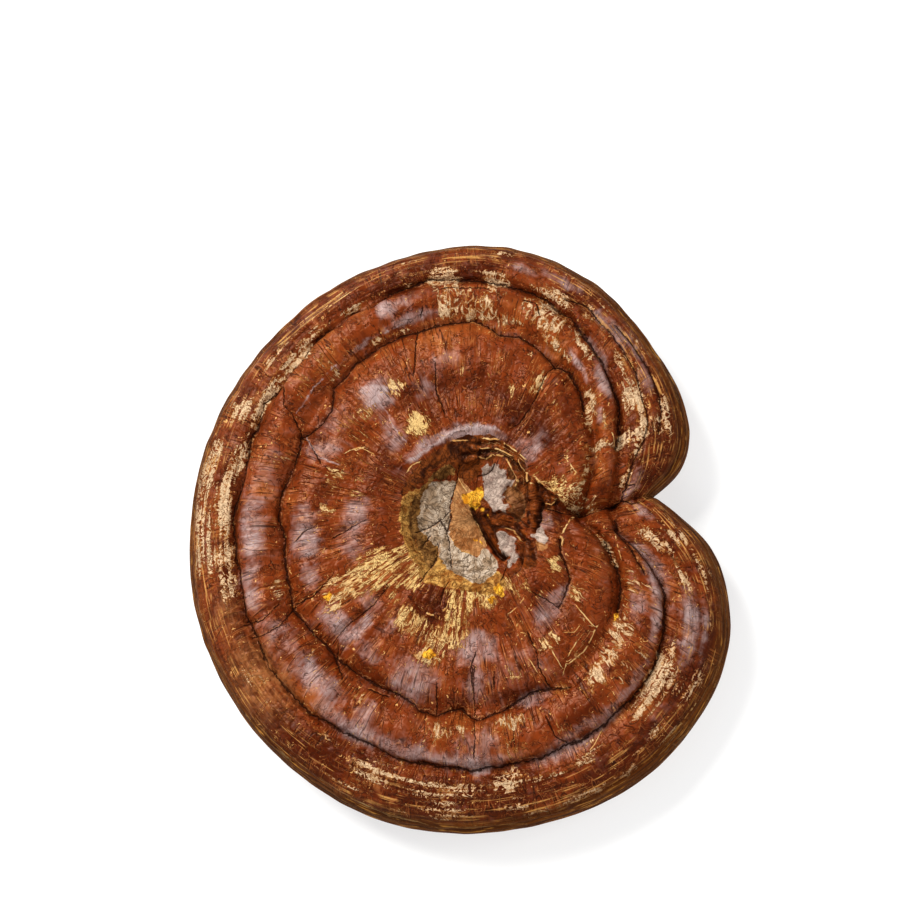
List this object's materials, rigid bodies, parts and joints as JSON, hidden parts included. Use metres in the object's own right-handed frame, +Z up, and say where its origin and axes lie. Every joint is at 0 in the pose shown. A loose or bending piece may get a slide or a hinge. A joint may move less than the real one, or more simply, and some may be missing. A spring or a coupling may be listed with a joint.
{
  "type": "reishi mushroom",
  "caption": "Dried reishi cap, kidney shaped with growth rings, a sunken middle and a seam where its lobes meet, lying on its cut stem stub.",
  "frame": {"origin": "middle of the flat stem cut that the cap rests on, straight below the sunken middle of its top", "axes": "+Z up out of the lacquered top, +X towards the notch between the lobes (the notch lies 7 degrees round towards +Y), +Y towards the upper lobe"},
  "size_m": [0.1744, 0.1923, 0.0294],
  "materials": {
    "lacquered_crust": "natural red-brown lacquer, glossy and finely wrinkled, with cream scuffs, a grey-white hollow in the middle and a pale brown pored underside"
  },
  "bodies": {
    "root": {"cap": "lacquered_crust"}
  },
  "joints": []
}
